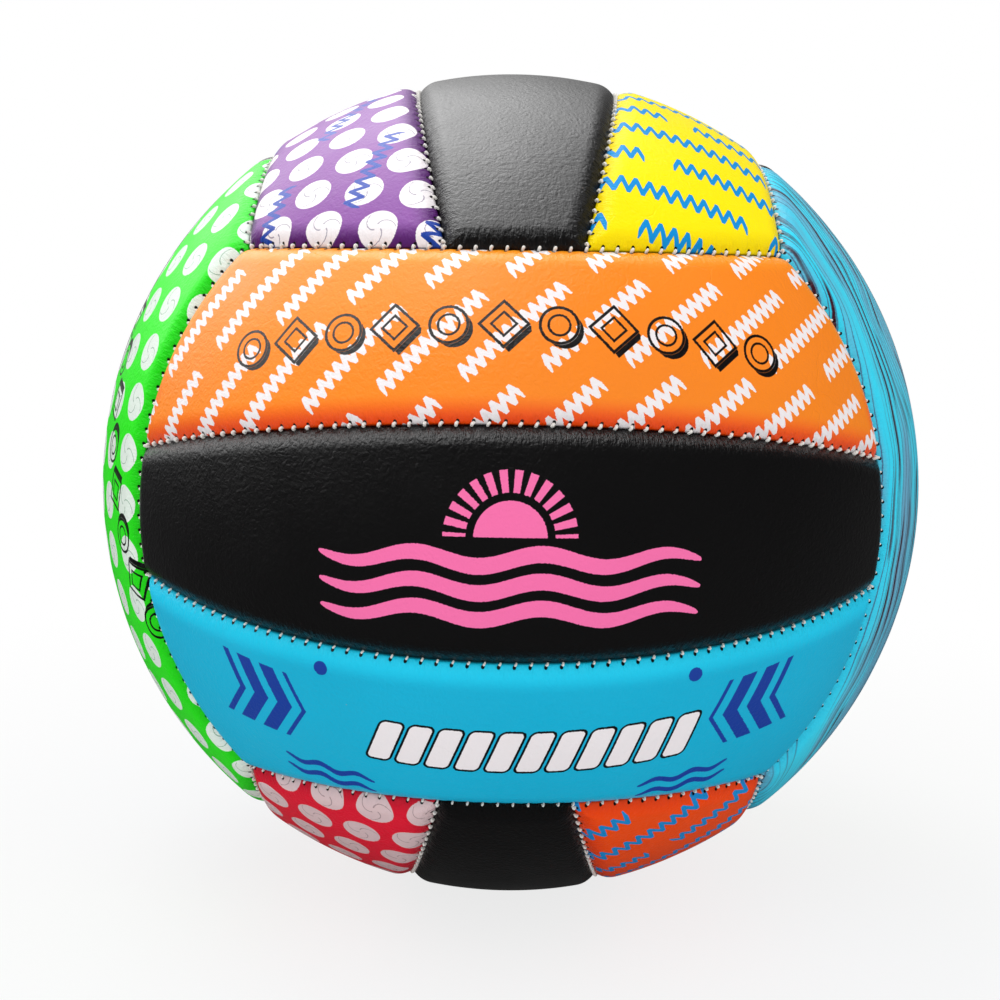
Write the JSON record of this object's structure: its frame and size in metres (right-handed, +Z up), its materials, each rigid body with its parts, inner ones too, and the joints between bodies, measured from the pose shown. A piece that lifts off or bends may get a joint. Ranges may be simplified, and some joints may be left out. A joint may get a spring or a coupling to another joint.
{
  "type": "volleyball",
  "caption": "Inflated machine-stitched ball with long printed strip panels in six crossed faces, a foam-backed cover, a bladder and a removable valve core.",
  "frame": {"origin": "middle of the ball, which is the middle of its bounding box", "axes": "+X to the right along the front face's strips, +Y away from the front face and out through the valve, +Z up"},
  "size_m": [0.21, 0.2098, 0.21],
  "materials": {
    "orange_skin": "satin",
    "black_skin": "satin",
    "blue_skin": "satin",
    "marbled_skin": "satin",
    "green_skin": "satin",
    "purple_skin": "satin",
    "yellow_skin": "satin",
    "vermilion_skin": "satin",
    "red_skin": "satin",
    "foam": "matte",
    "lining_cloth": "matte",
    "seam_thread": "matte",
    "bladder_rubber": "matte",
    "valve_rubber": "satin",
    "core_rubber": "satin",
    "patch_cloth": "matte"
  },
  "bodies": {
    "ball": {"front_upper_panel": "orange_skin", "front_middle_panel": "black_skin", "front_lower_panel": "blue_skin", "back_upper_panel": "orange_skin", "back_middle_panel": "black_skin", "back_lower_panel": "blue_skin", "right_front_panel": "marbled_skin", "right_middle_panel": "black_skin", "right_back_panel": "green_skin", "left_back_panel": "marbled_skin", "left_middle_panel": "black_skin", "left_front_panel": "green_skin", "top_left_panel": "purple_skin", "top_middle_panel": "black_skin", "top_right_panel": "yellow_skin", "bottom_right_panel": "vermilion_skin", "bottom_middle_panel": "black_skin", "bottom_left_panel": "red_skin", "front_upper_foam": "foam", "front_middle_foam": "foam", "front_lower_foam": "foam", "back_upper_foam": "foam", "back_middle_foam": "foam", "back_lower_foam": "foam", "right_front_foam": "foam", "right_middle_foam": "foam", "right_back_foam": "foam", "left_back_foam": "foam", "left_middle_foam": "foam", "left_front_foam": "foam", "top_left_foam": "foam", "top_middle_foam": "foam", "top_right_foam": "foam", "bottom_right_foam": "foam", "bottom_middle_foam": "foam", "bottom_left_foam": "foam", "front_lining": "lining_cloth", "back_lining": "lining_cloth", "right_lining": "lining_cloth", "left_lining": "lining_cloth", "top_lining": "lining_cloth", "bottom_lining": "lining_cloth", "front_strip_threads": "seam_thread", "back_strip_threads": "seam_thread", "right_strip_threads": "seam_thread", "left_strip_threads": "seam_thread", "top_strip_threads": "seam_thread", "bottom_strip_threads": "seam_thread", "front_edge_threads": "seam_thread", "back_edge_threads": "seam_thread", "right_edge_threads": "seam_thread", "left_edge_threads": "seam_thread", "top_edge_threads": "seam_thread", "bottom_edge_threads": "seam_thread", "bladder": "bladder_rubber", "valve_seat": "valve_rubber", "valve_patch": "patch_cloth"},
    "valve_core": {"valve_core": "core_rubber"}
  },
  "joints": [
    {"name": "valve_core_pull", "type": "slide", "parent": "ball", "child": "valve_core", "axis": [0, 1, 0], "range_m": [0, 0.02]}
  ]
}
